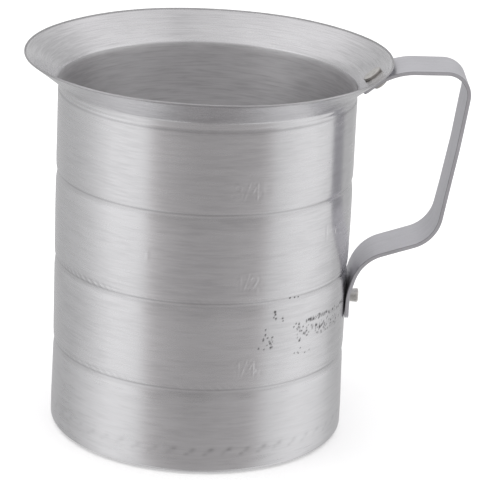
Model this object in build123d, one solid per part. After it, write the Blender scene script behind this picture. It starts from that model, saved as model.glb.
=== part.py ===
"""Candle melting (pouring) pot: spun aluminium body with a flared lip, a bent
strap handle and the two rivets that hold it.  Units mm, +Z up.

Frame: origin on the pot's axis at the underside of the flat base, +X towards
the handle, +Z up the axis.
"""
import math
import os

from build123d import *

# ----------------------------------------------------------------- dimensions
BODY_R = 64.0          # outside radius of the straight wall
WALL_T = 0.8           # sheet thickness
FLOOR_T = 0.9          # base thickness
BASE_CORNER_R = 2.4    # outside radius where wall meets base

NECK_Z = 154.7         # height where the flare's outer cone meets the wall line
RIM_R = 78.9           # outside radius of the rim
RIM_OUT_Z = 166.6      # height of the rim's outer (lower) edge
LIP_T = 0.75           # sheet thickness in the flare
LIP_EDGE_R = 0.22      # rounding of the trimmed edge

GROOVES = (36.3, 75.2, 114.1)       # bottoms of the three fill-level grooves
GROOVE_D = (0.48, 0.52, 0.60)       # their depths
FULL_GROOVE_Z = 151.8               # full-level groove just under the flare

STRAP_W = 25.4         # handle strap width
STRAP_T = 1.7          # handle strap thickness
STRAP_EDGE_R = 0.3     # softened long edges
STRAP_CORNER_R = 2.6   # rounded corners of both strap ends
# centre line of the strap in the XZ plane, from the lip to the foot
STRAP_PATH = [(65.62, 154.84), (78.01, 164.74), (111.89, 165.23),
              (107.26, 130.68), (100.45, 90.84), (68.30, 79.99),
              (64.87, 64.13), (64.87, 52.80)]
STRAP_BENDS = [29.22, 9.73, 122.88, 16.48, 17.49, 33.4]   # bend radii, centre line

RIVET_R = 2.4          # shank radius
RIVET_HOLE_R = 2.45    # hole radius in sheet and strap
HEAD_R = 4.3           # flat head on the pot's inner side
HEAD_T = 1.4
BUTTON_R = 3.05        # short stub on the strap side
LOW_RIVET_Z = 59.6
LOW_STUB = 3.9
UP_RIVET_X = 70.3      # where the upper rivet's axis meets the flare's inner face
UP_RIVET_Y = -2.5      # set slightly to one side of the strap's centre
UP_STUB = 3.2
SEAT_GAP = 0.02        # seating clearance between riveted pieces

os.makedirs("parts", exist_ok=True)

# ------------------------------------------------------------------ pot body
slope = (RIM_OUT_Z - NECK_Z) / (RIM_R - BODY_R)
ang = math.atan(slope)
ux, uz = math.cos(ang), math.sin(ang)          # up along the flare
nx, nz = -math.sin(ang), math.cos(ang)         # flare normal, to the inner side


def cone_out(r):
    return NECK_Z + slope * (r - BODY_R)


def cone_in(r):
    return cone_out(r) + LIP_T / math.cos(ang)


def groove_pts(r, z, d):
    """A rolled groove: sharp lower flank, long soft upper flank."""
    return [(r, z - 2.9), (r - 0.42 * d, z - 1.25), (r - d, z),
            (r - 0.62 * d, z + 1.5), (r - 0.18 * d, z + 3.2), (r, z + 4.9)]


def wall_edges(r, z_start, z_end):
    """Wall from z_start up to z_end with the fill-level grooves."""
    edges = []
    z = z_start
    for zc, d in zip(GROOVES, GROOVE_D):
        pts = groove_pts(r, zc, d)
        edges.append(Line((r, 0, z), (r, 0, pts[0][1])))
        edges.append(Spline(*[(a, 0, b) for a, b in pts],
                            tangents=[(0, 0, 1), (0, 0, 1)]))
        z = pts[-1][1]
    edges.append(Line((r, 0, z), (r, 0, z_end)))
    return edges


c = BASE_CORNER_R
ri = BODY_R - WALL_T
k = 1 - math.sqrt(0.5)
outer = [Line((0, 0, 0), (BODY_R - c, 0, 0)),
         ThreePointArc((BODY_R - c, 0, 0), (BODY_R - c * k, 0, c * k), (BODY_R, 0, c))]
outer += wall_edges(BODY_R, c, 149.8)
p_cone = (65.25, 0, cone_out(65.25))
outer.append(Spline((BODY_R, 0, 149.8), (63.50, 0, FULL_GROOVE_Z), (63.96, 0, 152.95),
                    (63.93, 0, 153.95), p_cone,
                    tangents=[(0, 0, 1), (ux, 0, uz)]))
rim_o = (RIM_R, 0, RIM_OUT_Z)
outer.append(Line(p_cone, rim_o))
rim_i = (RIM_R + nx * LIP_T, 0, RIM_OUT_Z + nz * LIP_T)
edge = [Line(rim_o, rim_i)]
q_cone = (64.75, 0, cone_in(64.75))
ci = c - WALL_T
inner = [Line(rim_i, q_cone),
         Spline(q_cone, (63.16, 0, 154.15), (63.06, 0, 153.0), (62.76, 0, FULL_GROOVE_Z),
                (ri, 0, 149.8), tangents=[(-ux, 0, -uz), (0, 0, -1)])]
inner_wall = wall_edges(ri, FLOOR_T + ci, 149.8)
inner += inner_wall
inner += [ThreePointArc((ri, 0, FLOOR_T + ci), (ri - ci * k, 0, FLOOR_T + ci * k),
                        (ri - ci, 0, FLOOR_T)),
          Line((ri - ci, 0, FLOOR_T), (0, 0, FLOOR_T)),
          Line((0, 0, FLOOR_T), (0, 0, 0))]

profile = make_face(Wire(outer + edge + inner))
pot = revolve(profile, Axis.Z, 360)
pot = pot.solid() if hasattr(pot, "solid") else pot
# round the trimmed edge of the lip
rim_edges = [e for e in pot.edges()
             if e.geom_type == GeomType.CIRCLE and e.radius > RIM_R - 0.9]
pot = fillet(rim_edges, LIP_EDGE_R).solid()

# spaces used to seat the inner rivet heads on the straight wall and the straight flare
g = SEAT_GAP * 1.3
low_cavity = Cylinder(ri - SEAT_GAP, 40.0,
                      align=(Align.CENTER, Align.CENTER, Align.MIN)).moved(
                          Location((0, 0, LOW_RIVET_Z - 20)))
flare_cavity = revolve(make_face(Polyline(
    (0, 0, cone_in(64.8) + g), (64.8, 0, cone_in(64.8) + g),
    (95.0, 0, cone_in(95.0) + g), (0, 0, cone_in(95.0) + g),
    (0, 0, cone_in(64.8) + g))), Axis.Z, 360).solid()

# ------------------------------------------------------------- rivet axes
up_in = (UP_RIVET_X, UP_RIVET_Y, cone_in(math.hypot(UP_RIVET_X, UP_RIVET_Y)))
up_dir = (-nx, 0.0, -nz)                        # from the inner side outwards
up_plane = Plane(origin=up_in, x_dir=(0, 1, 0), z_dir=up_dir)
low_in = (ri, 0.0, LOW_RIVET_Z)
low_plane = Plane(origin=low_in, x_dir=(0, 1, 0), z_dir=(1, 0, 0))


def rod(plane, r, a, b):
    """Cylinder of radius r along plane.z from a to b."""
    return plane.location * Pos(0, 0, a) * Cylinder(
        r, b - a, align=(Align.CENTER, Align.CENTER, Align.MIN))


pot = (pot - rod(up_plane, RIVET_HOLE_R, -1.0, 1.6)
       - rod(low_plane, RIVET_HOLE_R, -1.5, 2.0)).solid()

# -------------------------------------------------------------------- handle


def bend_path(pts, radii):
    """Straight runs and bends: list of ('L', p, q) and ('A', p, mid, q, r, sign)."""
    out = []
    cur = pts[0]
    for i in range(1, len(pts) - 1):
        p0, p1, p2 = pts[i - 1], pts[i], pts[i + 1]
        a = (p1[0] - p0[0], p1[1] - p0[1])
        b = (p2[0] - p1[0], p2[1] - p1[1])
        la, lb = math.hypot(*a), math.hypot(*b)
        a = (a[0] / la, a[1] / la)
        b = (b[0] / lb, b[1] / lb)
        turn = math.atan2(a[0] * b[1] - a[1] * b[0], a[0] * b[0] + a[1] * b[1])
        r = radii[i - 1]
        t = r * math.tan(abs(turn) / 2)
        s = (p1[0] - a[0] * t, p1[1] - a[1] * t)
        e = (p1[0] + b[0] * t, p1[1] + b[1] * t)
        sg = 1.0 if turn > 0 else -1.0
        cen = (s[0] - a[1] * sg * r, s[1] + a[0] * sg * r)
        out.append(("L", cur, s, a))
        out.append(("A", cen, s, turn, r, sg))
        cur = e
        last = b
    out.append(("L", cur, pts[-1], last))
    return out


def side_edges(path, off):
    """Edges of the path offset by off to its left side."""
    edges = []
    for seg in path:
        if seg[0] == "L":
            _, p, q, d = seg
            n = (-d[1] * off, d[0] * off)
            edges.append(Line((p[0] + n[0], 0, p[1] + n[1]), (q[0] + n[0], 0, q[1] + n[1])))
        else:
            _, cen, s, turn, r, sg = seg
            rr = (r - sg * off) / r
            v = ((s[0] - cen[0]) * rr, (s[1] - cen[1]) * rr)

            def at(f):
                cs, sn = math.cos(turn * f), math.sin(turn * f)
                return (cen[0] + v[0] * cs - v[1] * sn, 0, cen[1] + v[0] * sn + v[1] * cs)
            edges.append(ThreePointArc(at(0), at(0.5), at(1)))
    return edges


path = bend_path(STRAP_PATH, STRAP_BENDS)
top_side = side_edges(path, STRAP_T / 2)
low_side = side_edges(path, -STRAP_T / 2)
cap_a = Line(top_side[0] @ 0, low_side[0] @ 0)
cap_b = Line(top_side[-1] @ 1, low_side[-1] @ 1)
strap_face = make_face(Wire(top_side + low_side + [cap_a, cap_b]))
strap = extrude(strap_face, amount=STRAP_W / 2, dir=(0, 1, 0), both=True).solid()

# rounded corners at both ends
corner = []
for e in strap.edges():
    m = e @ 0.5
    if abs(e.length - STRAP_T) < 1e-3 and abs(abs(m.Y) - STRAP_W / 2) < 1e-3:
        corner.append(e)
strap = fillet(corner, STRAP_CORNER_R).solid()
# softened long edges
long_edges = [e for e in strap.edges()
              if abs(abs((e @ 0.0).Y) - STRAP_W / 2) < 1e-3
              and abs(abs((e @ 0.5).Y) - STRAP_W / 2) < 1e-3
              and abs(abs((e @ 1.0).Y) - STRAP_W / 2) < 1e-3
              and e.length > STRAP_T + 0.01]
try:
    soft = fillet(long_edges, STRAP_EDGE_R).solid()
    if soft.is_valid and soft.volume > 0.9 * strap.volume:
        strap = soft
except Exception:
    pass
strap = (strap - rod(up_plane, RIVET_HOLE_R, 0.0, 4.5)
         - rod(low_plane, RIVET_HOLE_R, 0.0, 4.5)).solid()

# -------------------------------------------------------------------- rivets


def rivet(plane, cavity, stack, stub):
    """Flat head inside the pot, shank through sheet and strap, stub outside."""
    head = rod(plane, HEAD_R, -HEAD_T, 0.6) & cavity
    head = head.solid()
    top = [e for e in head.edges()
           if e.geom_type == GeomType.CIRCLE
           and abs(plane.to_local_coords(e @ 0.0).Z + HEAD_T) < 1e-3]
    head = fillet(top, 0.45).solid()
    button = rod(plane, BUTTON_R, stack - 0.5, stack + stub)
    end = [e for e in button.edges()
           if e.geom_type == GeomType.CIRCLE
           and abs(plane.to_local_coords(e @ 0.0).Z - (stack + stub)) < 1e-3]
    button = fillet(end, 0.55)
    button = (button - strap).solids().sort_by(SortBy.VOLUME)[-1]
    button = button - rod(plane, RIVET_HOLE_R + 0.4, -1.0, stack + 0.6)
    button = button.solids().sort_by(SortBy.VOLUME)[-1]
    button = button.moved(Location(tuple(plane.z_dir * SEAT_GAP)))
    plug = rod(plane, RIVET_R, -0.5, stack + 1.5)
    seat = rod(plane, RIVET_HOLE_R + 0.45, stack + 0.55, stack + 1.4)
    return (head + plug + seat + button).solid()


up_stack = LIP_T + 0.05 + STRAP_T
low_stack = (STRAP_PATH[-1][0] + STRAP_T / 2) - ri
upper = rivet(up_plane, flare_cavity, up_stack, UP_STUB)
lower = rivet(low_plane, low_cavity, low_stack, LOW_STUB)

for name, shape in (("pot_body", pot), ("handle", strap),
                    ("upper_rivet", upper), ("lower_rivet", lower)):
    shape.label = name
    export_step(shape, "parts/%s.step" % name)
    bb = shape.bounding_box()
    print(name, "valid", shape.is_valid, "vol", round(shape.volume, 2),
          "bbox", [round(v, 2) for v in (bb.min.X, bb.min.Y, bb.min.Z, bb.max.X, bb.max.Y, bb.max.Z)])
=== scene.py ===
"""Visual model of the candle melting pot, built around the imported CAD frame.
Metres, +Z up, +X towards the handle."""
import bpy
import math
import numpy as np
from mathutils import Matrix, Vector


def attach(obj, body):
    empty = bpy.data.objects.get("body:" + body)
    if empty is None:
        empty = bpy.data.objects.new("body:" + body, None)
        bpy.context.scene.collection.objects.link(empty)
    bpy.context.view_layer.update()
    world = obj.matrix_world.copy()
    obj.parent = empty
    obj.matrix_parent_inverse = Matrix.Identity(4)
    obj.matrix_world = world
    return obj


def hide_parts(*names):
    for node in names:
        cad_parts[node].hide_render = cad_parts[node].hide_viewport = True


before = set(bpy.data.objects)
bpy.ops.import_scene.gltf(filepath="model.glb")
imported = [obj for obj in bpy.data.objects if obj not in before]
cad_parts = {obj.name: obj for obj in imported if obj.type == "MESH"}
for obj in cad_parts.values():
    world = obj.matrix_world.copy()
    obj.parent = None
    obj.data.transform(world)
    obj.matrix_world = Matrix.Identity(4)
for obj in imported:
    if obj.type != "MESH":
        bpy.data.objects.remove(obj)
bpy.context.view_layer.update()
MM = 0.001
rng = np.random.default_rng(7)

# ------------------------------------------------------------------ sizes, mm
BODY_R, WALL_T, FLOOR_T, BASE_C = 64.0, 0.8, 0.9, 2.4
NECK_Z, RIM_R, RIM_Z, LIP_T = 154.7, 78.9, 166.6, 0.75
GROOVES = ((36.75, 0.46), (75.15, 0.50), (113.95, 0.60))
SLOPE = (RIM_Z - NECK_Z) / (RIM_R - BODY_R)
ANG = math.atan(SLOPE)
UX, UZ = math.cos(ANG), math.sin(ANG)
NX, NZ = -math.sin(ANG), math.cos(ANG)

# slow change of the wall's radius with height (spun walls are never dead straight)
DEV_Z = np.array([0, 3, 10, 16, 22, 29, 45, 58, 83, 96, 106, 122, 128, 147, 168])
DEV_R = np.array([.20, .27, .24, .13, .0, -.14, -.15, -.09, .03, .15, .13, .09, .03, .0, .0])


def smooth(x):
    x = np.clip(x, 0.0, 1.0)
    return x * x * (3 - 2 * x)


# one rolled groove: offset from its bottom, share of its depth.  A long soft upper
# flank, a short steep step just above the bottom and an easy lower flank.
G_Z = np.array([-6.2, -4.9, -3.6, -2.5, -1.5, -0.7, 0.0, 0.55, 1.05, 1.45, 1.85, 2.35, 3.2, 4.2, 5.3, 6.4])
G_D = np.array([0.0, .03, .15, .37, .68, .92, 1.0, .94, .80, .60, .38, .24, .145, .075, .025, 0.0])


def groove(z, zc, d, soft=0.0):
    """Depth of one rolled groove; soft adds a second shallow roller track above it."""
    t = z - zc
    g = np.interp(t, G_Z, G_D)
    if soft:
        g = g + soft * np.exp(-((t - 2.9) / 0.55) ** 2)
    return d * g


# seeded sums of long waves stand for handling dents and out-of-round
WAVES = [(int(rng.integers(2, 9)), rng.uniform(0, 6.28), rng.uniform(0.02, 0.11),
          rng.uniform(0, 6.28), rng.uniform(0.3, 1.0)) for _ in range(16)]


def slow(phi, z):
    s = 0
    for n, p, kz, pz, a in WAVES:
        s = s + a * np.sin(n * phi + p) * np.sin(kz * z + pz)
    return 0.018 * s


def angdist(a, b):
    return (a - b + math.pi) % (2 * math.pi) - math.pi


# ------------------------------------------------- small stamped and worn marks
def strokes_of(text, h):
    """Stamped figures as polylines in a box of height h, left to right."""
    lines = []
    x = 0.0
    for ch in text:
        if ch == "1":
            g = [[(0.10, 0.78), (0.28, 1.0), (0.28, 0.0)]]
            w = 0.34
        elif ch == "2":
            a = [(0.27 + 0.25 * math.cos(t), 0.74 + 0.25 * math.sin(t))
                 for t in np.linspace(2.9, -0.75, 10)]
            g = [a + [(0.02, 0.0), (0.54, 0.0)]]
            w = 0.56
        elif ch == "3":
            a = [(0.25 + 0.23 * math.cos(t), 0.76 + 0.23 * math.sin(t))
                 for t in np.linspace(2.6, -1.5, 9)]
            b = [(0.25 + 0.27 * math.cos(t), 0.27 + 0.27 * math.sin(t))
                 for t in np.linspace(1.5, -2.6, 10)]
            g = [a + b]
            w = 0.54
        elif ch == "4":
            g = [[(0.42, 0.0), (0.42, 1.0), (0.0, 0.3), (0.6, 0.3)]]
            w = 0.60
        else:
            g = [[(0.02, -0.05), (0.40, 1.05)]]
            w = 0.42
        for line in g:
            lines.append([((x + px) * h, py * h) for px, py in line])
        x += w + 0.10
    return lines, (x - 0.10) * h


def seg_dist(u, v, line):
    d = np.full(u.shape, 1e9)
    for (x0, y0), (x1, y1) in zip(line[:-1], line[1:]):
        dx, dy = x1 - x0, y1 - y0
        t = np.clip(((u - x0) * dx + (v - y0) * dy) / (dx * dx + dy * dy + 1e-12), 0, 1)
        d = np.minimum(d, np.hypot(u - x0 - t * dx, v - y0 - t * dy))
    return d


MARKS = [("3/4", math.radians(-74.5), 122.3, 6.2), ("1/2", math.radians(-73.0), 82.2, 6.2),
         ("1/4", math.radians(-72.3), 44.2, 6.0)]

# small pits, in the patches where the sheet was scuffed: degrees, mm, radius
PITS = [(math.radians(p_), z_, r_, 1.0) for p_, z_, r_ in (
    (-42.9, 64.1, .62), (-36.9, 58.9, .60), (-39.2, 60.4, .50), (-48.6, 55.9, .45), (-49.2, 63.5, .45),
    (-37.7, 64.9, .45), (-60.9, 71.3, .50), (-60.7, 70.1, .40), (-60.4, 68.3, .42), (-57.4, 67.9, .40),
    (-57.1, 66.7, .30), (-61.3, 69.1, .30), (-44.0, 64.3, .50), (-41.4, 63.7, .45), (-32.4, 64.3, .42),
    (-27.5, 63.8, .50), (-30.5, 63.4, .42), (-19.7, 63.8, .50), (-17.8, 63.5, .50), (-16.1, 63.1, .45),
    (-23.4, 63.1, .36), (-26.0, 64.6, .32), (-35.7, 59.2, .42), (-44.9, 59.5, .38), (-47.7, 60.1, .36),
    (-47.0, 61.9, .34), (-51.8, 62.8, .34), (-50.7, 64.1, .34), (-25.7, 57.4, .38), (-23.9, 58.3, .38),
    (-28.7, 59.3, .36), (-62.4, 57.5, .42), (-62.1, 55.6, .42), (-64.6, 61.6, .36), (-63.6, 60.1, .30),
    (-61.6, 60.1, .32), (-67.2, 55.9, .34), (-64.6, 63.8, .30), (-54.2, 76.3, .40), (-51.9, 76.1, .34),
    (-50.1, 75.9, .30), (-69.4, 21.7, .36), (-69.9, 17.3, .30))]
for n, p0, p1, z0, z1, r1 in ((34, -45.5, -32.5, 63.2, 64.8, .36), (16, -32.4, -15.4, 62.8, 64.3, .38),
                              (58, -50.5, -31.0, 55.4, 62.2, .34), (16, -31.0, -17.0, 56.0, 61.8, .34),
                              (12, -65.5, -61.2, 53.8, 61.0, .34), (6, -52.0, -39.0, 49.6, 54.0, .28)):
    for _ in range(n):
        PITS.append((math.radians(rng.uniform(p0, p1)), rng.uniform(z0, z1),
                     rng.uniform(.25, r1 + .02), rng.uniform(.55, .95)))


def relief(phi, z):
    """Fine relief of the outer wall in mm, and a 0..1 darkening: stain for the pits' floors, darker dents, and painted
    shade along the grooves.
    """
    h = np.zeros(phi.shape)
    stain_and_painted_shade = np.zeros(phi.shape)
    # chatter dents from the spinning roller, one every 7 degrees low on the wall
    near = np.abs(z - 11.0) < 5
    if near.any():
        k = np.round(np.degrees(phi[near]) / 7.0 + 0.03)
        u = (np.degrees(phi[near]) - (k - 0.03) * 7.0) * 1.117
        amp = 0.35 + 0.65 * np.exp(-(angdist(phi[near], math.radians(-80)) / 0.42) ** 2)
        v = z[near] - 11.0 - 0.35 * np.sin(k * 2.1)
        uu, vv = (u - 0.55 * v), v
        dent = amp * (np.exp(-(uu / 1.25) ** 2 - (vv / 0.85) ** 2)
                      + 0.75 * np.exp(-((uu + 1.5) / 1.1) ** 2 - ((vv + 1.7) / 0.6) ** 2))
        h[near] -= 0.075 * dent
        # the dents are darker in colour too
        stain_and_painted_shade[near] = 0.42 * dent
    # painted shade: a dark line along each groove's short steep step and its floor, where the crease falls into shade,
    # and darker smudges where the roller stuttered
    for i, (zc, d) in enumerate(GROOVES):
        near = np.abs(z - zc - 1.6) < 4
        if near.any():
            t = z[near] - zc
            k = (96, 112, 60)[i]
            amp = smooth(0.5 + 0.9 * np.sin(phi[near] * 1.0 - 1.9 + i) + 0.4 * np.sin(7 * phi[near]))
            s_ = (0.27, 0.25, 0.30)[i] * np.exp(-((t - 1.35) / 0.42) ** 2) + 0.09 * np.exp(-((t + 0.2) / 0.7) ** 2)
            s_ += (0.08, 0.27, 0.02)[i] * amp * np.exp(-((t - 2.4) / 1.3) ** 2) \
                * smooth(0.5 + 0.5 * np.sin(k * phi[near] + 1.6 * t + 1.5 * np.sin(9 * phi[near])))
            stain_and_painted_shade[near] = np.maximum(stain_and_painted_shade[near], s_)
    # stamped figures
    for text, p0, z0, size in MARKS:
        sel = (np.abs(angdist(phi, p0)) < 0.16) & (np.abs(z - z0 - size / 2) < size)
        if not sel.any():
            continue
        lines, width = strokes_of(text, size)
        u = angdist(phi[sel], p0) * BODY_R + width / 2
        v = z[sel] - z0
        d = np.full(u.shape, 1e9)
        for line in lines:
            d = np.minimum(d, seg_dist(u, v, line))
        fade = 0.55 + 0.45 * np.sin(u * 1.3 + v * .9 + p0 * 9)
        h[sel] += 0.075 * fade * smooth(1 - d / 0.62)
        h[sel] -= 0.03 * np.exp(-((d - 0.9) / 0.5) ** 2)
    # faint oblong press mark, small ring and a short dent beside the handle
    p0, z0 = math.radians(-115.8), 95.6
    sel = (np.abs(angdist(phi, p0)) < 0.14) & (np.abs(z - z0) < 6)
    if sel.any():
        u = np.abs(angdist(phi[sel], p0) * BODY_R)
        v = np.abs(z[sel] - z0)
        d = np.maximum(u - 5.6, v - 1.9)
        h[sel] += 0.06 * np.exp(-(d / 0.5) ** 2)
    p0, z0 = math.radians(-27.3), 99.7
    sel = (np.abs(angdist(phi, p0)) < 0.08) & (np.abs(z - z0) < 5)
    if sel.any():
        d = np.hypot(angdist(phi[sel], p0) * BODY_R, z[sel] - z0)
        h[sel] += 0.09 * np.exp(-((d - 1.7) / 0.45) ** 2)
    p0, z0 = math.radians(-36.0), 100.8
    sel = (np.abs(angdist(phi, p0)) < 0.06) & (np.abs(z - z0) < 6)
    if sel.any():
        d = seg_dist(angdist(phi[sel], p0) * BODY_R, z[sel] - z0, [(-.2, 3.0), (.2, -3.0)])
        h[sel] -= 0.09 * np.exp(-(d / 0.55) ** 2)
    # scuffs above and beside the figures
    for p0, z0, du, dv, a in ((-66.7, 126.0, .9, 2.4, .05), (-66.0, 45.0, 1.0, 1.2, .05),
                              (-79.3, 63.6, 1.4, .9, .04), (-77.0, 57.4, .4, 2.2, .05),
                              (-120.5, 70.0, .8, 1.3, .05), (-128.0, 96.0, .7, 1.8, .03),
                              (-64.5, 30.0, 1.2, 1.6, .03), (-133.0, 13.0, 1.4, .8, .05),
                              (-126.0, 11.8, 1.4, .7, .04), (-119.0, 11.8, 1.4, .7, .03)):
        sel = (np.abs(angdist(phi, math.radians(p0))) < 0.12) & (np.abs(z - z0) < 8)
        if sel.any():
            u = angdist(phi[sel], math.radians(p0)) * BODY_R
            h[sel] -= a * np.exp(-(u / du) ** 2 - ((z[sel] - z0) / dv) ** 2)
    for p0, z0, r, deep in PITS:
        sel = (np.abs(angdist(phi, p0)) < 0.03) & (np.abs(z - z0) < 1.8)
        if sel.any():
            d = np.hypot(angdist(phi[sel], p0) * BODY_R, z[sel] - z0) / r
            h[sel] -= 0.16 * r * deep * np.exp(-d ** 4)
            h[sel] += 0.02 * np.exp(-((d - 1.5) / .35) ** 2)
            stain_and_painted_shade[sel] = np.maximum(stain_and_painted_shade[sel], deep * smooth(1.68 - d))
    return h, stain_and_painted_shade


def wall_r(z, phi):
    r = BODY_R + np.interp(z, DEV_Z, DEV_R) + slow(phi, z) * smooth((z - 1) / 14) * smooth((150 - z) / 14)
    for i, (zc, d) in enumerate(GROOVES):
        wob = (0.10 * np.sin(3 * phi + i) + 0.06 * np.sin(8 * phi + 2 * i)) * (1.0, 1.0, 0.5)[i]
        dd = d * (1 + 0.10 * np.sin(5 * phi + i * 1.7))
        r = r - groove(z, zc + wob, dd, (0.08, 0.12, 0.0)[i])
        if i < 2:
            # the roller stuttered along the two lower grooves
            k = 112 if i else 96
            amp = (0.016, 0.022)[i] * (0.35 + 0.65 * smooth(0.5 + 0.9 * np.sin(phi * 1.0 - 1.9 + i) + 0.4 * np.sin(7 * phi)))
            r = r - amp * np.sin(k * phi + 2.2 * (z - zc) + 1.5 * np.sin(9 * phi)) \
                * np.exp(-((z - zc - 1.9) / 1.5) ** 2)
    return r


# ------------------------------------------------------------- body: one shell
def zrows(z0, z1, plain, fine, zones):
    zs = [z0]
    while zs[-1] < z1:
        z = zs[-1]
        step = plain
        for a, b in zones:
            if a - step <= z <= b:
                step = min(step, fine if a <= z <= b else max(fine, a - z))
        zs.append(z + step)
    zs[-1] = z1
    return zs


COLS = 300
zones = [(g - 3.6, g + 4.6) for g, _ in GROOVES]
outer_z = zrows(BASE_C, 149.2, 2.2, 0.36, zones)
prof = []          # (kind, a, b): base/outer/inner/... with r and z in mm
for r in np.r_[np.linspace(2.0, 58.0, 15), 60.2, BODY_R - BASE_C - .1]:
    prof.append(("base", r, 0.0))
for t in np.linspace(0, math.pi / 2, 8)[:-1]:
    prof.append(("corner", BODY_R - BASE_C + BASE_C * math.sin(t), BASE_C - BASE_C * math.cos(t)))
for z in outer_z:
    prof.append(("outer", None, z))


def spline(pts, n):
    """Catmull-Rom through (r, z) points."""
    P = np.array([pts[0]] + list(pts) + [pts[-1]], float)
    out = []
    for i in range(1, len(P) - 2):
        for t in np.linspace(0, 1, n, endpoint=False):
            a, b, c, d = P[i - 1], P[i], P[i + 1], P[i + 2]
            out.append(0.5 * ((2 * b) + (c - a) * t + (2 * a - 5 * b + 4 * c - d) * t * t
                              + (3 * b - a - 3 * c + d) * t ** 3))
    out.append(P[-2])
    return out


def cone_out(r):
    return NECK_Z + SLOPE * (r - BODY_R)


neck_o = spline([(64.0, 149.7), (63.95, 150.4), (63.80, 151.15), (63.72, 151.8), (63.76, 152.3), (63.88, 152.75),
                 (63.94, 153.2), (63.96, 153.8), (64.08, 154.3), (64.45, 154.9), (65.3, cone_out(65.3))], 3)
for r, z in neck_o[1:]:
    prof.append(("neck", r, z))
RIM_A = (RIM_R - 0.14, RIM_Z)
for t in np.linspace(0.08, 0.985, 12):
    r = 65.3 + (RIM_A[0] - 65.3) * t
    prof.append(("flare_o", r, cone_out(r) + 0.10 * math.sin(math.pi * t)))
th = 0.70
rc = th / 2
cx, cz = RIM_A[0] + NX * rc - UX * rc, cone_out(RIM_A[0]) + NZ * rc - UZ * rc
for t in np.linspace(-math.pi / 2, math.pi / 2, 7):
    # squarish rounded trim
    cu = rc * math.copysign(abs(math.cos(t)) ** 0.6, math.cos(t))
    cv = rc * math.copysign(abs(math.sin(t)) ** 0.8, math.sin(t))
    prof.append(("rim", cx + UX * cu + NX * cv, cz + UZ * cu + NZ * cv))
for t in np.linspace(0.985, 0.06, 14):
    r = 64.6 + (RIM_A[0] + NX * LIP_T - 64.6) * t
    prof.append(("flare_i", r, cone_out(r) + LIP_T / math.cos(ANG) + 0.10 * math.sin(math.pi * t)))
neck_i = spline([(64.9, cone_out(64.9) + LIP_T / math.cos(ANG)), (64.22, 155.64), (63.66, 154.75), (63.33, 153.5),
                 (63.22, 152.2), (63.2, 151.0), (63.2, 149.6)], 3)
for r, z in neck_i[1:]:
    prof.append(("neck", r, z))
izones = [(g - 2.6, g + 5.0) for g, _ in GROOVES]
inner_z = zrows(FLOOR_T + 1.8, 149.0, 4.0, 0.8, izones)[::-1]
for z in inner_z:
    prof.append(("inner", None, z))
ri = BODY_R - WALL_T + .2
for t in np.linspace(0, math.pi / 2, 6)[1:]:
    prof.append(("icorner", ri - 1.8 + 1.8 * math.cos(t), FLOOR_T + 1.8 - 1.8 * math.sin(t)))
for r in np.linspace(59.5, 2.0, 16):
    prof.append(("floor", r, FLOOR_T))

NROW = len(prof)
phis = -math.pi + (np.arange(COLS) + 0.5) * 2 * math.pi / COLS
kind_id = {"base": 0, "corner": 1, "outer": 2, "neck": 3, "flare_o": 4, "rim": 5,
           "flare_i": 6, "inner": 7, "icorner": 8, "floor": 9}


def rim_wave(phi):
    """The trimmed lip is a little uneven: radius and height."""
    a = 0.06 * np.sin(2 * phi + 0.7) + 0.05 * np.sin(5 * phi + 1.9) + 0.03 * np.sin(9 * phi)
    b = 0.16 * np.sin(3 * phi + 2.2) + 0.08 * np.sin(7 * phi + .4)
    return a, b


def place(kind, r, z, phi):
    """World position of profile points, arrays in mm."""
    r = np.array(r, float) * np.ones_like(phi)
    z = np.array(z, float) * np.ones_like(phi)
    if kind == "outer":
        r = wall_r(z, phi)
        h, _ = relief(phi, z)
        r = r + h
    elif kind == "inner":
        r = wall_r(z, phi) - WALL_T
    elif kind in ("corner", "icorner"):
        r = r + (np.interp(z, DEV_Z, DEV_R)) * smooth(z / 2.4)
    elif kind == "neck":
        r = r + slow(phi, z) * 0.3
    if kind in ("flare_o", "flare_i", "rim"):
        a, b = rim_wave(phi)
        f = smooth((r - 65.0) / 13.8) ** 1.5
        # pulled out a little on the handle's side, where the strap is riveted up
        a = a - 0.14 + 0.62 * np.exp(-(angdist(phi, math.radians(24)) / 0.42) ** 2) \
            + 0.10 * np.exp(-(angdist(phi, math.radians(180)) / 0.5) ** 2)
        r = r + a * f
        z = z + b * f - 0.26 * f
        # the sheet is flattened where the upper rivet clamps it
        d = np.hypot(r * np.cos(phi) - 70.6, r * np.sin(phi) + 2.5)
        z = z - 0.10 * np.exp(-(d / 7.0) ** 2)
    if kind == "base":
        z = z + 0.35 * smooth((60 - r) / 5) * (1 - 0.15 * np.cos(r / 60 * 9))
    if kind == "floor":
        z = z + 0.35 * smooth((60 - r) / 5)
    return r, z


verts = np.zeros((NROW, COLS, 3))
for i, (k, r, z) in enumerate(prof):
    rr, zz = place(k, 0 if r is None else r, z, phis)
    verts[i, :, 0] = rr * np.cos(phis)
    verts[i, :, 1] = rr * np.sin(phis)
    verts[i, :, 2] = zz
idx = np.arange(NROW * COLS).reshape(NROW, COLS)
a = idx[:-1]; b = idx[1:]
quads = np.stack([a, np.roll(a, -1, 1), np.roll(b, -1, 1), b], -1).reshape(-1, 4)
V = verts.reshape(-1, 3)
nv = len(V)
V = np.vstack([V, [[0, 0, 0.35 * 0.85], [0, 0, FLOOR_T + 0.35]]])
faces = [tuple(int(q) for q in f) for f in quads]
for j in range(COLS):
    k = (j + 1) % COLS
    faces.append((nv, int(idx[0, k]), int(idx[0, j])))
    faces.append((nv + 1, int(idx[-1, j]), int(idx[-1, k])))

body_me = bpy.data.meshes.new("pot_body_look")
body_me.from_pydata([tuple(v * MM) for v in V], [], faces)
body_me.validate()

import bmesh
bm = bmesh.new()
bm.from_mesh(body_me)
bm.verts.ensure_lookup_table()
bmesh.ops.recalc_face_normals(bm, faces=bm.faces)


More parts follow.
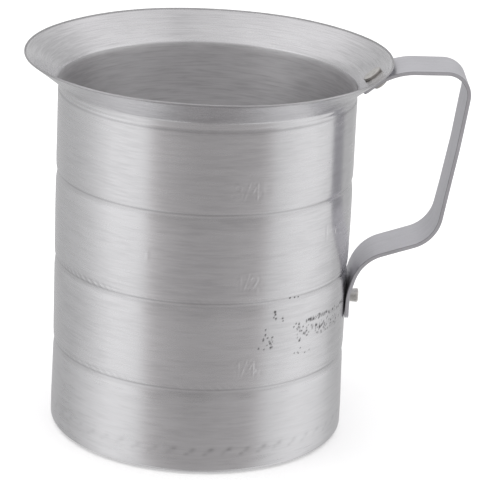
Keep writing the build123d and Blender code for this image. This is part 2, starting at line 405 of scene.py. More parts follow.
def refine(test, cuts):
    """Splits the outer wall's faces where test(phi, z) holds, so marks are real shape."""
    edges = set()
    for f in bm.faces:
        c = f.calc_center_median() * 1000
        r = math.hypot(c.x, c.y)
        if r > 63.3 and 3 < c.z < 149 and f.normal.dot(Vector((c.x, c.y, 0)).normalized()) > 0.5:
            if test(math.atan2(c.y, c.x), c.z):
                edges.update(f.edges)
    bmesh.ops.subdivide_edges(bm, edges=list(edges), cuts=cuts, use_grid_fill=True)


def in_zone(phi, z):
    p = math.degrees(phi)
    if -68 < p < -14 and 49 < z < 68:
        return True
    if -66.5 < p < -47 and 68 <= z < 78:
        return True
    for _, p0, z0, s in MARKS:
        if abs(angdist(phi, p0)) < 0.125 and z0 - 1.2 < z < z0 + s + 1.2:
            return True
    if abs(angdist(phi, math.radians(-27.3))) < 0.06 and abs(z - 99.7) < 3:
        return True
    if abs(angdist(phi, math.radians(-36))) < 0.04 and abs(z - 100.8) < 4.5:
        return True
    return False


def in_zone2(phi, z):
    p = math.degrees(phi)
    if p < -15 and (abs(z - 38.6) < 3.2 or abs(z - 77.0) < 3.2):
        return True
    if abs(z - 11) < 3.6:
        return True
    if abs(angdist(phi, math.radians(-115.8))) < 0.12 and abs(z - 95.6) < 4:
        return True
    return abs(p + 122.8) < 2 and abs(z - 69.6) < 2


refine(in_zone, 3)
refine(in_zone2, 1)
bm.verts.ensure_lookup_table()
n = len(bm.verts)
co = np.array([v.co for v in bm.verts]) * 1000
rad = np.hypot(co[:, 0], co[:, 1])
ph = np.arctan2(co[:, 1], co[:, 0])
stain_and_painted_shade = np.zeros(n)
m = (rad > wall_r(co[:, 2], ph) - 0.4) & (rad < 65.2) & (co[:, 2] > BASE_C + .01) & (co[:, 2] < 149.4)
h, st = relief(ph[m], co[m, 2])
rr = wall_r(co[m, 2], ph[m]) + h
co[m, 0] = rr * np.cos(ph[m])
co[m, 1] = rr * np.sin(ph[m])
stain_and_painted_shade[m] = st
for v, c in zip(bm.verts, co):
    v.co = (c[0] * MM, c[1] * MM, c[2] * MM)
# the sheared lip is duller than the sheet
for i, (k, _, _) in enumerate(prof):
    if k == "rim":
        stain_and_painted_shade[i * COLS:(i + 1) * COLS] = 0.34
    # painted shade: a dark line round the neck's outer groove, where the sheet turns downwards into shade
    elif k == "neck" and prof[i][1] > 63.6 and i < NROW // 2:
        stain_and_painted_shade[i * COLS:(i + 1) * COLS] = 0.26 * math.exp(-((prof[i][2] - 150.7) / 0.5) ** 2)
bmesh.ops.recalc_face_normals(bm, faces=bm.faces)
for f in bm.faces:
    f.smooth = True
bm.to_mesh(body_me)
bm.free()
at = body_me.attributes.new("pits_and_painted_shade", "FLOAT", "POINT")
at.data.foreach_set("value", stain_and_painted_shade.astype(np.float32))
# 1 inside the pot below the neck, 0 on the outside and on the flare
rad = np.hypot(co[:, 0], co[:, 1])
inside = (rad < wall_r(co[:, 2], ph) - 0.45) & (co[:, 2] > FLOOR_T * 0.8)
inner = np.where(inside, smooth((157.6 - co[:, 2]) / 2.8), 0.0)
at = body_me.attributes.new("inner", "FLOAT", "POINT")
at.data.foreach_set("value", inner.astype(np.float32))
pot = bpy.data.objects.new("pot_body_look", body_me)
bpy.context.collection.objects.link(pot)

# ------------------------------------------------------------- handle strap
STRAP_W, STRAP_T = 25.4, 1.7
PATH = [(65.62, 154.84), (78.01, 164.74), (111.89, 165.23), (107.26, 130.68),
        (100.45, 90.84), (68.30, 79.99), (64.87, 64.13), (64.87, 52.80)]
BENDS = [29.22, 9.73, 122.88, 16.48, 17.49, 33.4]


def path_points(pts, radii, ds=1.0):
    """Centre line sampled along straight runs and bends: position and tangent."""
    P, T = [], []
    cur = np.array(pts[0], float)
    for i in range(1, len(pts) - 1):
        p0, p1, p2 = (np.array(pts[j], float) for j in (i - 1, i, i + 1))
        a = (p1 - p0) / np.linalg.norm(p1 - p0)
        b = (p2 - p1) / np.linalg.norm(p2 - p1)
        turn = math.atan2(a[0] * b[1] - a[1] * b[0], a @ b)
        r = radii[i - 1]
        t = r * math.tan(abs(turn) / 2)
        s, e = p1 - a * t, p1 + b * t
        L = np.linalg.norm(s - cur)
        k = max(2, int(L / (ds * 1.6)))
        for u in np.linspace(0, 1, k, endpoint=False):
            P.append(cur + (s - cur) * u)
            T.append(a)
        sg = 1.0 if turn > 0 else -1.0
        cen = s + np.array([-a[1], a[0]]) * sg * r
        k = max(5, int(abs(turn) * r / ds))
        for u in np.linspace(0, 1, k, endpoint=False):
            c, sn = math.cos(turn * u), math.sin(turn * u)
            R = np.array([[c, -sn], [sn, c]])
            P.append(cen + R @ (s - cen))
            T.append(R @ a)
        cur, last = e, b
    end = np.array(pts[-1], float)
    k = max(3, int(np.linalg.norm(end - cur) / ds))
    for u in np.linspace(0, 1, k):
        P.append(cur + (end - cur) * u)
        T.append(last)
    return np.array(P), np.array(T)


SP, ST = path_points(PATH, BENDS, 0.9)
SS = np.r_[0, np.cumsum(np.linalg.norm(np.diff(SP, axis=0), axis=1))]
TOTAL = SS[-1]
CORNER = 2.6
er = 0.34
# extra stations near both rounded ends
extra = CORNER * (1 - np.cos(np.linspace(0, math.pi / 2, 9)))
extra = np.unique(np.r_[extra, TOTAL - extra, SS])
keep = [extra[0]]
for s in extra[1:]:
    if s - keep[-1] > 0.05:
        keep.append(s)
S = np.array(keep)
PX, PZ = np.interp(S, SS, SP[:, 0]), np.interp(S, SS, SP[:, 1])
TX, TZ = np.interp(S, SS, ST[:, 0]), np.interp(S, SS, ST[:, 1])
tl = np.hypot(TX, TZ); TX /= tl; TZ /= tl
hw = np.full(len(S), STRAP_W / 2)
for s_end in (0, 1):
    d = S if s_end == 0 else TOTAL - S
    c = np.clip(CORNER - d, 0, CORNER)
    hw = hw - (CORNER - np.sqrt(np.maximum(CORNER ** 2 - c ** 2, 0)))


def strap_loop(hwid, tk, er, nw=12, nr=4):
    """Rounded rectangle in (across, up)."""
    pts = []
    hx, hy = hwid, tk / 2
    for cx_, cy_, a0 in ((hx - er, hy - er, 0), (-(hx - er), hy - er, 90),
                         (-(hx - er), -(hy - er), 180), (hx - er, -(hy - er), 270)):
        for t in np.linspace(0, 90, nr):
            a_ = math.radians(a0 + t)
            pts.append((cx_ + er * math.cos(a_), cy_ + er * math.sin(a_)))
        if a0 == 0:
            for u in np.linspace(1, -1, nw + 2)[1:-1]:
                pts.append((u * (hx - er), hy))
        if a0 == 180:
            for u in np.linspace(-1, 1, nw + 2)[1:-1]:
                pts.append((u * (hx - er), -hy))
    return np.array(pts)


loops = []
sv = []
stations = [(0, 0.0, 0.55), (0, 0.0, 0.85)] + [(i, None, 1.0) for i in range(len(S))] + \
           [(len(S) - 1, 0.0, 0.85), (len(S) - 1, 0.0, 0.55)]
for i, _, sc in stations:
    ln = strap_loop(hw[i], STRAP_T * 0.975 * (1 if sc == 1 else sc), er * (1 if sc == 1 else sc))
    if sc != 1:
        ln[:, 0] *= (hw[i] - (1 - sc) * 0.7) / hw[i]
    inset = 0.0
    if i == 0:
        inset = {1.0: 0.28, 0.85: 0.06, 0.55: 0.0}[sc]
    if i == len(S) - 1:
        inset = -{1.0: 0.28, 0.85: 0.06, 0.55: 0.0}[sc]
    s_here = S[i] + inset
    across, up = ln[:, 0], ln[:, 1]
    # handling waves: a few hundredths of a millimetre, none where it is riveted
    calm = smooth((s_here - 10) / 14) * smooth((TOTAL - 16 - s_here) / 14)
    wav = 0.035 * calm * (np.sin(s_here / 9.0 + across / 7.0) + 0.6 * np.sin(s_here / 4.3 - across / 5.0 + 1))
    x0 = PX[i] + TX[i] * inset
    z0 = PZ[i] + TZ[i] * inset
    nx_, nz_ = -TZ[i], TX[i]
    # the foot is pressed a little round the pot's wall, and the lower arm is twisted a touch
    wrap = 0.74 * smooth((s_here - (TOTAL - 24)) / 20) * across ** 2 / (2 * BODY_R)
    tw = 0.016 * smooth((s_here - 96) / 26) * smooth((TOTAL - 22 - s_here) / 16) * across
    lift = up + wav + tw
    sv.append(np.stack([x0 + nx_ * lift - wrap, -across, z0 + nz_ * lift], -1))
    loops.append(s_here)
sv = np.array(sv)
NL, NP = sv.shape[:2]
idx = np.arange(NL * NP).reshape(NL, NP)
a = idx[:-1]; b = idx[1:]
q = np.stack([a, b, np.roll(b, -1, 1), np.roll(a, -1, 1)], -1).reshape(-1, 4)
faces = [tuple(int(v) for v in f) for f in q]
faces.append(tuple(int(v) for v in idx[0]))
faces.append(tuple(int(v) for v in idx[-1][::-1]))
hme = bpy.data.meshes.new("handle_look")
hme.from_pydata([tuple(v * MM) for v in sv.reshape(-1, 3)], [], faces)
along = np.repeat(np.array(loops), NP)
corner_line = np.zeros((NL, NP))
for k in range(NP):
    # the two middle points of each rounded corner
    if np.min(np.abs(np.abs(strap_loop(STRAP_W / 2, STRAP_T, er)[k]) -
                     np.array([STRAP_W / 2 - er * .3, STRAP_T / 2 - er * .3]))) < er * .28 \
            and np.abs(strap_loop(STRAP_W / 2, STRAP_T, er)[k])[0] > STRAP_W / 2 - er * .8 \
            and np.abs(strap_loop(STRAP_W / 2, STRAP_T, er)[k])[1] > STRAP_T / 2 - er * .8:
        corner_line[:, k] = 1.0
acr = -sv.reshape(-1, 3)[:, 1]
for nm, val in (("along", along), ("across", acr)):
    at = hme.attributes.new(nm, "FLOAT", "POINT")
    at.data.foreach_set("value", (val * MM).astype(np.float32))
at = hme.attributes.new("edge", "FLOAT", "POINT")
at.data.foreach_set("value", corner_line.reshape(-1).astype(np.float32))
bm = bmesh.new(); bm.from_mesh(hme)
bmesh.ops.recalc_face_normals(bm, faces=bm.faces)
for f in bm.faces:
    f.smooth = len(f.verts) < 10
bm.to_mesh(hme); bm.free()
handle = bpy.data.objects.new("handle_look", hme)
bpy.context.collection.objects.link(handle)


# ------------------------------------------------------------------- rivets
def lathe(name, origin, axis, side, rings, seg=48, hammer=0.0, seed=0, off=(0, 0, 0)):
    """Closed turned piece. rings are (radius, height along axis) in mm."""
    r_ = np.random.default_rng(seed)
    ax = np.array(axis, float); ax /= np.linalg.norm(ax)
    s1 = np.array(side, float); s1 -= ax * (s1 @ ax); s1 /= np.linalg.norm(s1)
    s2 = np.cross(ax, s1)
    o = np.array(origin, float)
    th_ = np.arange(seg) * 2 * math.pi / seg
    p1, p2, p3 = r_.uniform(0, 6.28, 3)
    vs = []
    for r, t in rings:
        rr_ = r * (1 + hammer * (0.5 * np.sin(2 * th_ + p1) + 0.35 * np.sin(3 * th_ + p2)
                                 + 0.2 * np.sin(5 * th_ + p3)))
        tt = t + hammer * 1.2 * r * np.cos(th_ + p2) * (1 if t < 0 or t > 2.6 else 0)
        o_ = o + np.array(off) * (1.0 if t < 0.065 else 0.0)
        vs.append(o_ + np.outer(np.cos(th_) * rr_, s1) + np.outer(np.sin(th_) * rr_, s2)
                  + np.outer(tt * np.ones(seg), ax))
    vs = np.array(vs)
    n_ = len(rings)
    ii = np.arange(n_ * seg).reshape(n_, seg)
    a_, b_ = ii[:-1], ii[1:]
    q_ = np.stack([a_, np.roll(a_, -1, 1), np.roll(b_, -1, 1), b_], -1).reshape(-1, 4)
    fs = [tuple(int(v) for v in f) for f in q_]
    pts_ = [tuple(v * MM) for v in vs.reshape(-1, 3)]
    pts_.append(tuple((o + np.array(off) + ax * rings[0][1]) * MM))
    pts_.append(tuple((o + ax * rings[-1][1]) * MM))
    c0, c1 = len(pts_) - 2, len(pts_) - 1
    for j in range(seg):
        k_ = (j + 1) % seg
        fs.append((c0, int(ii[0, k_]), int(ii[0, j])))
        fs.append((c1, int(ii[-1, j]), int(ii[-1, k_])))
    me = bpy.data.meshes.new(name)
    me.from_pydata(pts_, [], fs)
    # the head's rim and underside are darker in colour
    head_rim_darkening = np.zeros(len(pts_))
    for i_, (r, t) in enumerate(rings):
        if i_ in (5, 6, 7, 8, 9):
            head_rim_darkening[i_ * seg:(i_ + 1) * seg] = (0.15, 0.55, 0.95, 1.0, 1.0)[i_ - 5]
    at_ = me.attributes.new("head_rim_darkening", "FLOAT", "POINT")
    at_.data.foreach_set("value", head_rim_darkening.astype(np.float32))
    b3 = bmesh.new(); b3.from_mesh(me)
    bmesh.ops.recalc_face_normals(b3, faces=b3.faces)
    for f in b3.faces:
        f.smooth = True
    b3.to_mesh(me); b3.free()
    ob = bpy.data.objects.new(name, me)
    bpy.context.collection.objects.link(ob)
    return ob


def head_rings(r, t):
    """Flat cold-headed disc with a soft crown and a worn edge, from the crown down."""
    return [(0.4, -t + 0.00), (r * .30, -t + .02), (r * .55, -t + .05), (r * .76, -t + .11), (r * .88, -t + .2),
            (r * .955, -t + .34), (r * .99, -t + .55), (r, -t + .8), (r * .985, -0.25), (r * .96, 0.06)]


def stub_rings(s, r, L):
    """Plain shank end: straight side, softened end with a shallow crown."""
    return [(r * .93, s - 0.15), (r * .94, s + .25), (r * .975, s + L * .5), (r * 1.0, s + L - .95),
            (r * .985, s + L - .5), (r * .88, s + L - .2), (r * .74, s + L - .1), (r * .45, s + L - .03),
            (0.35, s + L)]


up_in = (70.3, -2.5, cone_out(math.hypot(70.3, 2.5)) + LIP_T / math.cos(ANG))
up_ax = (-NX, 0, -NZ)
up_rings = head_rings(4.3, 1.40) + [(2.4, 0.07), (2.4, 2.4)] + stub_rings(2.5, 3.05, 3.2)
upper = lathe("upper_rivet_look", up_in, up_ax, (0, 1, 0), up_rings, hammer=0.012, seed=3,
              off=(-0.40 * UX, 0.55, -0.40 * UZ))
lo_in = (63.2, 0, 59.6)
lo_rings = head_rings(4.3, 1.36) + [(2.4, 0.07), (2.4, 2.4)] + stub_rings(2.52, 3.05, 3.86)
lower = lathe("lower_rivet_look", lo_in, (1, 0, 0), (0, 1, 0), lo_rings, hammer=0.010, seed=5)


# --------------------------------------------------------------- materials
def mat_new(name):
    mt = bpy.data.materials.new(name)
    mt.use_nodes = True
    nt = mt.node_tree
    nt.nodes.clear()
    out = nt.nodes.new("ShaderNodeOutputMaterial")
    bsdf = nt.nodes.new("ShaderNodeBsdfPrincipled")
    nt.links.new(bsdf.outputs["BSDF"], out.inputs["Surface"])
    return mt, nt, bsdf


def node(nt, kind, **props):
    nd = nt.nodes.new(kind)
    for k_, v_ in props.items():
        setattr(nd, k_, v_)
    return nd


def math_node(nt, op, a_, b_=None, c_=None, clamp=False):
    nd = nt.nodes.new("ShaderNodeMath")
    nd.operation = op
    nd.use_clamp = clamp
    for i_, v_ in enumerate((a_, b_, c_)):
        if v_ is None:
            continue
        if isinstance(v_, (int, float)):
            nd.inputs[i_].default_value = v_
        else:
            nt.links.new(v_, nd.inputs[i_])
    return nd.outputs[0]


def noise(nt, vec, scale, detail=2.0, rough=0.5, dist=0.0):
    nd = nt.nodes.new("ShaderNodeTexNoise")
    nd.inputs["Scale"].default_value = scale
    nd.inputs["Detail"].default_value = detail
    nd.inputs["Roughness"].default_value = rough
    nd.inputs["Distortion"].default_value = dist
    nt.links.new(vec, nd.inputs["Vector"])
    return nd.outputs["Fac"]


def ramp(nt, fac, stops):
    nd = nt.nodes.new("ShaderNodeValToRGB")
    el = nd.color_ramp.elements
    while len(el) > 1:
        el.remove(el[-1])
    el[0].position, el[0].color = stops[0][0], (*stops[0][1], 1)
    for p_, c_ in stops[1:]:
        e_ = el.new(p_)
        e_.color = (*c_, 1)
    nt.links.new(fac, nd.inputs["Fac"])
    return nd.outputs["Color"]


def maprange(nt, val, a0, a1, b0, b1):
    nd = nt.nodes.new("ShaderNodeMapRange")
    nd.inputs["From Min"].default_value = a0
    nd.inputs["From Max"].default_value = a1
    nd.inputs["To Min"].default_value = b0
    nd.inputs["To Max"].default_value = b1
    nt.links.new(val, nd.inputs["Value"])
    return nd.outputs["Result"]


def spun_vector(nt, stretch):
    """Turned-metal coordinates: slow round the axis, fast along the sheet's own profile.
    No seam, because the direction round the axis enters as a unit vector."""
    tc = nt.nodes.new("ShaderNodeTexCoord")
    sep = nt.nodes.new("ShaderNodeSeparateXYZ")
    nt.links.new(tc.outputs["Object"], sep.inputs[0])
    x, y, z = sep.outputs
    r2 = math_node(nt, "ADD", math_node(nt, "MULTIPLY", x, x), math_node(nt, "MULTIPLY", y, y))
    r = math_node(nt, "SQRT", r2)
    rs = math_node(nt, "MAXIMUM", r, 0.0005)
    cx_ = math_node(nt, "MULTIPLY", math_node(nt, "DIVIDE", x, rs), stretch)
    cy_ = math_node(nt, "MULTIPLY", math_node(nt, "DIVIDE", y, rs), stretch)
    # the profile's length, near enough: height plus radius
    run = math_node(nt, "ADD", z, math_node(nt, "MULTIPLY", r, 1.0))
    comb = nt.nodes.new("ShaderNodeCombineXYZ")
    nt.links.new(cx_, comb.inputs[0])
    nt.links.new(cy_, comb.inputs[1])
    nt.links.new(run, comb.inputs[2])
    return comb.outputs[0], tc.outputs["Object"], (x, y, z, r)


def make_spun():
    mt, nt, bsdf = mat_new("spun_aluminium")
    vec, obj, (x, y, z, r) = spun_vector(nt, 0.0060)
    vec2, _, _ = spun_vector(nt, 0.0058)
    fine = noise(nt, vec, 900.0, 3.0, 0.6)
    mid = noise(nt, vec2, 420.0, 2.0, 0.5)
    broad = noise(nt, vec2, 90.0, 2.0, 0.5)
    patch = noise(nt, obj, 26.0, 3.0, 0.55, 0.4)
    grain = noise(nt, obj, 1500.0, 2.0, 0.5)
    lines = math_node(nt, "ADD", math_node(nt, "MULTIPLY", fine, 0.74), math_node(nt, "MULTIPLY", mid, 0.26))
    tone = math_node(nt, "ADD", math_node(nt, "MULTIPLY", lines, 0.55),
                     math_node(nt, "ADD", math_node(nt, "MULTIPLY", broad, 0.12),
                               math_node(nt, "MULTIPLY", patch, 0.33)))
    # the tool's passes show more on the flared lip and inside
    vec3, _, _ = spun_vector(nt, 0.0040)
    passes = math_node(nt, "SUBTRACT", noise(nt, vec3, 1250.0, 2.0, 0.6), 0.5)
    where = nt.nodes.new("ShaderNodeAttribute")
    where.attribute_name = "inner"
    where = math_node(nt, "MAXIMUM", where.outputs["Fac"], maprange(nt, z, 0.1545, 0.1575, 0.0, 1.0))
    tone = math_node(nt, "ADD", tone, math_node(nt, "MULTIPLY", math_node(nt, "MULTIPLY", passes, where), 0.58))
    base = ramp(nt, tone, [(0.36, (0.712, 0.707, 0.720)), (0.50, (0.806, 0.801, 0.815)),
                           (0.64, (0.862, 0.857, 0.872))])
    # colour darkened by this attribute: stained pit floors, darker dents, the duller lip, and painted shade along the
    # grooves and the neck
    pits_and_painted_shade = nt.nodes.new("ShaderNodeAttribute")
    pits_and_painted_shade.attribute_name = "pits_and_painted_shade"
    dark = nt.nodes.new("ShaderNodeMix")
    dark.data_type = "RGBA"
    ins = nt.nodes.new("ShaderNodeAttribute")
    ins.attribute_name = "inner"
    tint = nt.nodes.new("ShaderNodeMix")
    tint.data_type = "RGBA"
    tint.blend_type = "MULTIPLY"
    nt.links.new(ins.outputs["Fac"], tint.inputs["Factor"])
    nt.links.new(base, tint.inputs["A"])
    tint.inputs["B"].default_value = (1.004, 1.0, 0.994, 1)
    base = tint.outputs["Result"]
    nt.links.new(math_node(nt, "MULTIPLY", pits_and_painted_shade.outputs["Fac"], 0.9, clamp=True), dark.inputs["Factor"])
    nt.links.new(base, dark.inputs["A"])
    dark.inputs["B"].default_value = (0.12, 0.115, 0.12, 1)
    nt.links.new(dark.outputs["Result"], bsdf.inputs["Base Color"])
    bsdf.inputs["Metallic"].default_value = 1.0
    rgh = math_node(nt, "ADD", maprange(nt, lines, 0.30, 0.70, 0.205, 0.295),
                    maprange(nt, patch, 0.35, 0.65, -0.02, 0.03))
    rgh = math_node(nt, "ADD", rgh, math_node(nt, "MULTIPLY", pits_and_painted_shade.outputs["Fac"], 0.3))
    rgh = math_node(nt, "ADD", rgh, math_node(nt, "MULTIPLY", ins.outputs["Fac"], 0.20))
    rgh = math_node(nt, "ADD", rgh, maprange(nt, z, 0.030, 0.039, 0.055, 0.0))
    nt.links.new(rgh, bsdf.inputs["Roughness"])
    nt.links.new(math_node(nt, "MULTIPLY_ADD", ins.outputs["Fac"], 0.16, 0.68), bsdf.inputs["Anisotropic"])
    bsdf.inputs["Anisotropic Rotation"].default_value = 0.25
    tan = nt.nodes.new("ShaderNodeTangent")
    tan.direction_type = "RADIAL"
    tan.axis = "Z"
    nt.links.new(tan.outputs[0], bsdf.inputs["Tangent"])
    hgt = math_node(nt, "ADD", math_node(nt, "MULTIPLY", fine, 0.80),
                    math_node(nt, "ADD", math_node(nt, "MULTIPLY", mid, 0.16), math_node(nt, "MULTIPLY", grain, 0.28)))
    bump = nt.nodes.new("ShaderNodeBump")
    bump.inputs["Strength"].default_value = 0.22
    bump.inputs["Distance"].default_value = 0.00010
    nt.links.new(hgt, bump.inputs["Height"])
    nt.links.new(bump.outputs[0], bsdf.inputs["Normal"])
    return mt


def make_strap():
    mt, nt, bsdf = mat_new("strap_aluminium")
    al = nt.nodes.new("ShaderNodeAttribute"); al.attribute_name = "along"
    ac = nt.nodes.new("ShaderNodeAttribute"); ac.attribute_name = "across"
    tc = nt.nodes.new("ShaderNodeTexCoord")
    comb = nt.nodes.new("ShaderNodeCombineXYZ")
    nt.links.new(math_node(nt, "MULTIPLY", al.outputs["Fac"], 0.06), comb.inputs[0])
    nt.links.new(ac.outputs["Fac"], comb.inputs[1])
    fine = noise(nt, comb.outputs[0], 1500.0, 3.0, 0.6)
    mid = noise(nt, comb.outputs[0], 420.0, 2.0, 0.5)
    patch = noise(nt, tc.outputs["Object"], 60.0, 3.0, 0.6, 0.5)
    grain = noise(nt, tc.outputs["Object"], 1300.0, 3.0, 0.6)
    lines = math_node(nt, "ADD", math_node(nt, "MULTIPLY", fine, 0.5), math_node(nt, "MULTIPLY", mid, 0.5))
    tone = math_node(nt, "ADD", math_node(nt, "MULTIPLY", lines, 0.45),
                     math_node(nt, "ADD", math_node(nt, "MULTIPLY", patch, 0.35),
                               math_node(nt, "MULTIPLY", grain, 0.2)))
    base = ramp(nt, tone, [(0.34, (0.712, 0.708, 0.738)), (0.50, (0.790, 0.786, 0.818)),
                           (0.66, (0.862, 0.858, 0.892))])
    edge = nt.nodes.new("ShaderNodeAttribute"); edge.attribute_name = "edge"
    # colour darkened along the strap's rounded corners
    corner_darkening = nt.nodes.new("ShaderNodeMix")
    corner_darkening.data_type = "RGBA"
    nt.links.new(math_node(nt, "MULTIPLY", edge.outputs["Fac"], 0.62, clamp=True), corner_darkening.inputs["Factor"])
    nt.links.new(base, corner_darkening.inputs["A"])
    corner_darkening.inputs["B"].default_value = (0.30, 0.295, 0.305, 1)
    nt.links.new(corner_darkening.outputs["Result"], bsdf.inputs["Base Color"])
    bsdf.inputs["Metallic"].default_value = 1.0
    nt.links.new(maprange(nt, tone, 0.35, 0.65, 0.40, 0.56), bsdf.inputs["Roughness"])
    hgt = math_node(nt, "ADD", math_node(nt, "MULTIPLY", lines, 0.8), math_node(nt, "MULTIPLY", grain, 0.6))
    bump = nt.nodes.new("ShaderNodeBump")
    bump.inputs["Strength"].default_value = 0.30
    bump.inputs["Distance"].default_value = 0.00012
    nt.links.new(hgt, bump.inputs["Height"])
    nt.links.new(bump.outputs[0], bsdf.inputs["Normal"])
    return mt


def make_rivet():
    mt, nt, bsdf = mat_new("rivet_aluminium")
    tc = nt.nodes.new("ShaderNodeTexCoord")
    patch = noise(nt, tc.outputs["Object"], 420.0, 3.0, 0.6, 0.6)
    grain = noise(nt, tc.outputs["Object"], 2600.0, 3.0, 0.6)
    tone = math_node(nt, "ADD", math_node(nt, "MULTIPLY", patch, 0.65), math_node(nt, "MULTIPLY", grain, 0.35))
    base = ramp(nt, tone, [(0.34, (0.60, 0.585, 0.555)), (0.50, (0.78, 0.765, 0.735)),
                           (0.66, (0.88, 0.87, 0.845))])
    # colour darkened on the head's rim and underside
    head_rim_fac = nt.nodes.new("ShaderNodeAttribute"); head_rim_fac.attribute_name = "head_rim_darkening"
    head_rim_darkened = nt.nodes.new("ShaderNodeMix")
    head_rim_darkened.data_type = "RGBA"
    nt.links.new(math_node(nt, "MULTIPLY", head_rim_fac.outputs["Fac"], 0.80, clamp=True), head_rim_darkened.inputs["Factor"])
    nt.links.new(base, head_rim_darkened.inputs["A"])
    head_rim_darkened.inputs["B"].default_value = (0.27, 0.25, 0.225, 1)
    nt.links.new(head_rim_darkened.outputs["Result"], bsdf.inputs["Base Color"])
    bsdf.inputs["Metallic"].default_value = 1.0
    nt.links.new(maprange(nt, tone, 0.35, 0.65, 0.32, 0.52), bsdf.inputs["Roughness"])
    bump = nt.nodes.new("ShaderNodeBump")
    bump.inputs["Strength"].default_value = 0.35
    bump.inputs["Distance"].default_value = 0.00012
    nt.links.new(tone, bump.inputs["Height"])
    nt.links.new(bump.outputs[0], bsdf.inputs["Normal"])
    return mt


m_spun, m_strap, m_rivet = make_spun(), make_strap(), make_rivet()
pot.data.materials.append(m_spun)
handle.data.materials.append(m_strap)
upper.data.materials.append(m_rivet)
lower.data.materials.append(m_rivet)

for ob, nd_, sl in ((pot, "pot_body", "spun_aluminium"), (handle, "handle", "strap_aluminium"),
                    (upper, "upper_rivet", "rivet_aluminium"), (lower, "lower_rivet", "rivet_aluminium")):
    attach(ob, "root")
    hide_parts(nd_)

# ----------------------------------------------------- floor, light, camera
bpy.ops.mesh.primitive_plane_add(size=6.0, location=(0, 0, -0.0004))
floor = bpy.context.object
floor.name = "floor"
fm, nt, bsdf = mat_new("floor_white")
bsdf.inputs["Base Color"].default_value = (0.95, 0.95, 0.95, 1)
bsdf.inputs["Emission Color"].default_value = (1, 1, 1, 1)
bsdf.inputs["Emission Strength"].default_value = 0.22
bsdf.inputs["Roughness"].default_value = 0.8
bsdf.inputs["Specular IOR Level"].default_value = 0.1
floor.data.materials.append(fm)
floor.visible_glossy = False

world = bpy.data.worlds.new("studio")
bpy.context.scene.world = world
world.use_nodes = True
nt = world.node_tree
nt.nodes.clear()
wout = nt.nodes.new("ShaderNodeOutputWorld")
bg = nt.nodes.new("ShaderNodeBackground")
nt.links.new(bg.outputs[0], wout.inputs["Surface"])
tc = nt.nodes.new("ShaderNodeTexCoord")
sep = nt.nodes.new("ShaderNodeSeparateXYZ")
nt.links.new(tc.outputs["Generated"], sep.inputs[0])
dx, dy, dz = sep.outputs
az = math_node(nt, "ARCTAN2", dx, math_node(nt, "MULTIPLY", dy, -1.0))      # 0 towards -Y, + towards +X
azf = math_node(nt, "MULTIPLY_ADD", az, 0.5 / math.pi, 0.5)
AZ = [(-180, .58), (-161, .54), (-150, .49), (-135, .48), (-115, .52), (-99, .62), (-86, .76), (-74, .89), (-62, .89),
      (-52, .86), (-46, .80), (-41, .60), (-34, .465), (-20, .39), (-8, .355), (4, .35), (16, .365), (30, .39),
      (42, .415), (49, .51), (56, .66), (66, .74), (77, .82), (90, .85), (104, .80), (112, .74), (118, .69),
      (128, .51), (150, .49), (165, .59), (180, .58)]


def sky(a_, v_):
    # the dull middle is a touch warm, the bright sides neutral
    w_ = 1.028 if -44 < a_ < 52 else 1.0
    return (v_ * w_, v_, v_ * 1.004)


side = ramp(nt, azf, [((a_ + 180) / 360, sky(a_, v_)) for a_, v_ in AZ])
elev = math_node(nt, "MULTIPLY_ADD", dz, 0.5, 0.5)


def by_elev(stops):
    return ramp(nt, elev, [((d_ + 1) / 2, (v_ * .8, v_ * .8, v_ * .8)) for d_, v_ in stops])


e_band = by_elev([(-1, .90), (-.86, .97), (-.66, .93), (-.45, .95), (-.33, 1.0), (-.1, 1.02), (0, 1.02), (.4, .96)])
e_mid = by_elev([(-1, .92), (-.86, 1.02), (-.70, 1.08), (-.57, 1.10), (-.41, 1.05), (-.33, 1.0), (-.28, .965),
                 (-.1, .88), (.05, .84), (.3, .88), (.6, 1.0)])
# the bright sides reach higher than the rest, and shine into the pot
e_high = by_elev([(-.45, 1.0), (.1, .98), (.32, 1.05), (.5, 1.4), (.75, 1.5)])
mid_mask = ramp(nt, azf, [(0, (0, 0, 0)), ((-46 + 180) / 360, (0, 0, 0)), ((-38 + 180) / 360, (1, 1, 1)),
                          ((43 + 180) / 360, (1, 1, 1)), ((54 + 180) / 360, (0, 0, 0)), (1, (0, 0, 0))])


def mixer(kind, fac, a_, b_):
    nd = nt.nodes.new("ShaderNodeMix")
    nd.data_type = "RGBA"
    nd.blend_type = kind
    if isinstance(fac, float):
        nd.inputs["Factor"].default_value = fac
    else:
        nt.links.new(fac, nd.inputs["Factor"])
    for v_, k_ in ((a_, "A"), (b_, "B")):
        if isinstance(v_, tuple):
            nd.inputs[k_].default_value = v_
        else:
            nt.links.new(v_, nd.inputs[k_])
    return nd.outputs["Result"]


e_all = mixer("MIX", mid_mask, e_band, e_mid)
high_mask = ramp(nt, azf, [((a_ + 180) / 360, (v_, v_, v_)) for a_, v_ in
                           ((-180, 0), (-118, 0), (-100, 1), (-56, 1), (-44, 0), (50, 0), (62, 1), (102, 1), (120, 0), (180, 0))])
e_all = mixer("MULTIPLY", high_mask, e_all, mixer("MULTIPLY", 1.0, e_high, (1.25, 1.25, 1.25, 1)))
lower = mixer("MULTIPLY", 1.0, side, e_all)
lower = mixer("MULTIPLY", 1.0, lower, (1.25, 1.25, 1.25, 1))
# what the down-facing side of the lip sees
AZ_LOW = [(-180, .62), (-130, .78), (-100, .82), (-82, .78), (-68, .70), (-56, .55), (-44, .42), (-30, .36),
          (-10, .34), (10, .34), (30, .35), (44, .38), (56, .50), (68, .63), (82, .74), (100, .80), (130, .82),
          (180, .62)]
side_low = ramp(nt, azf, [((a_ + 180) / 360, sky(a_, v_)) for a_, v_ in AZ_LOW])
is_low = ramp(nt, elev, [(0, (1, 1, 1)), ((-.78 + 1) / 2, (1, 1, 1)), ((-.60 + 1) / 2, (0, 0, 0)), (1, (0, 0, 0))])
lower = mixer("MIX", is_low, lower, side_low)
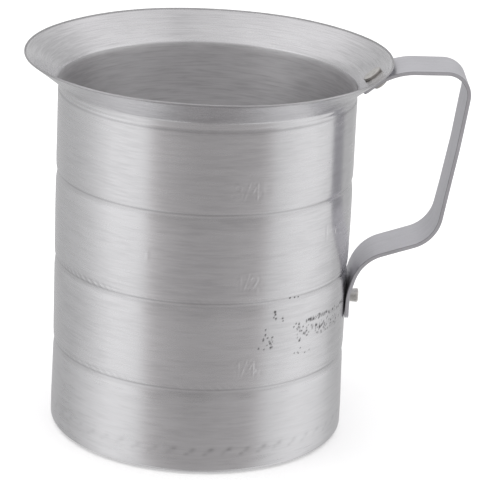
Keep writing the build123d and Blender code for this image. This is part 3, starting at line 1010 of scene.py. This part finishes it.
# overhead: two soft boxes with a duller gap between them
topf = math_node(nt, "MULTIPLY_ADD", dx, 0.5, 0.5)
top = ramp(nt, topf, [((d_ + 1) / 2, (v_, v_ * .992, v_)) for d_, v_ in (
    (-.90, .63), (-.66, .77), (-.42, .835), (-.25, .745), (-.08, .70), (.08, .66), (.21, .61), (.30, .68),
    (.40, .765), (.55, .80), (.68, .74), (.90, .64))])
up = ramp(nt, elev, [(0.0, (0, 0, 0)), (0.66, (0, 0, 0)), (0.86, (1, 1, 1)), (1.0, (1, 1, 1))])
mix = nt.nodes.new("ShaderNodeMix"); mix.data_type = "RGBA"
nt.links.new(up, mix.inputs["Factor"])
nt.links.new(lower, mix.inputs["A"])
nt.links.new(top, mix.inputs["B"])
lp = nt.nodes.new("ShaderNodeLightPath")
mix2 = nt.nodes.new("ShaderNodeMix"); mix2.data_type = "RGBA"
nt.links.new(lp.outputs["Is Camera Ray"], mix2.inputs["Factor"])
nt.links.new(mix.outputs["Result"], mix2.inputs["A"])
mix2.inputs["B"].default_value = (1, 1, 1, 1)
nt.links.new(mix2.outputs["Result"], bg.inputs["Color"])
bg.inputs["Strength"].default_value = 1.0

ld = bpy.data.lights.new("overhead", "AREA")
ld.shape = "DISK"
ld.size = 3.0
ld.energy = 26.0
lo = bpy.data.objects.new("overhead", ld)
lo.location = (0, -0.2, 2.0)
lo.visible_glossy = False
bpy.context.collection.objects.link(lo)

# light that the bright floor of the pot throws back up its own wall
il = bpy.data.lights.new("pot_floor_bounce", "AREA")
il.shape = "DISK"
il.size = 0.118
il.energy = 0.0066
io = bpy.data.objects.new("pot_floor_bounce", il)
io.location = (0, 0, 0.0030)
io.rotation_euler = (math.pi, 0, 0)
bpy.context.collection.objects.link(io)

cam_d = bpy.data.cameras.new("photo_camera")
cam_d.sensor_width = 36.0
cam_d.lens = 194.606
cam = bpy.data.objects.new("photo_camera", cam_d)
bpy.context.collection.objects.link(cam)
r2 = Vector((0.9990192, -0.0115853, 0.0427371))
u2 = Vector((-0.0365504, 0.3290568, 0.9436025))
fw = Vector((0.0249949, 0.9442391, -0.3283106))
cam.matrix_world = Matrix(((r2.x, u2.x, -fw.x, -0.011717), (r2.y, u2.y, -fw.y, -1.068488),
                           (r2.z, u2.z, -fw.z, 0.454712), (0, 0, 0, 1)))
cam_d.clip_end = 20.0
bpy.context.scene.camera = cam
vs = bpy.context.scene.view_settings
vs.view_transform = "Standard"
vs.look = "None"
vs.exposure = 0.0
vs.gamma = 1.0

bpy.context.view_layer.update()
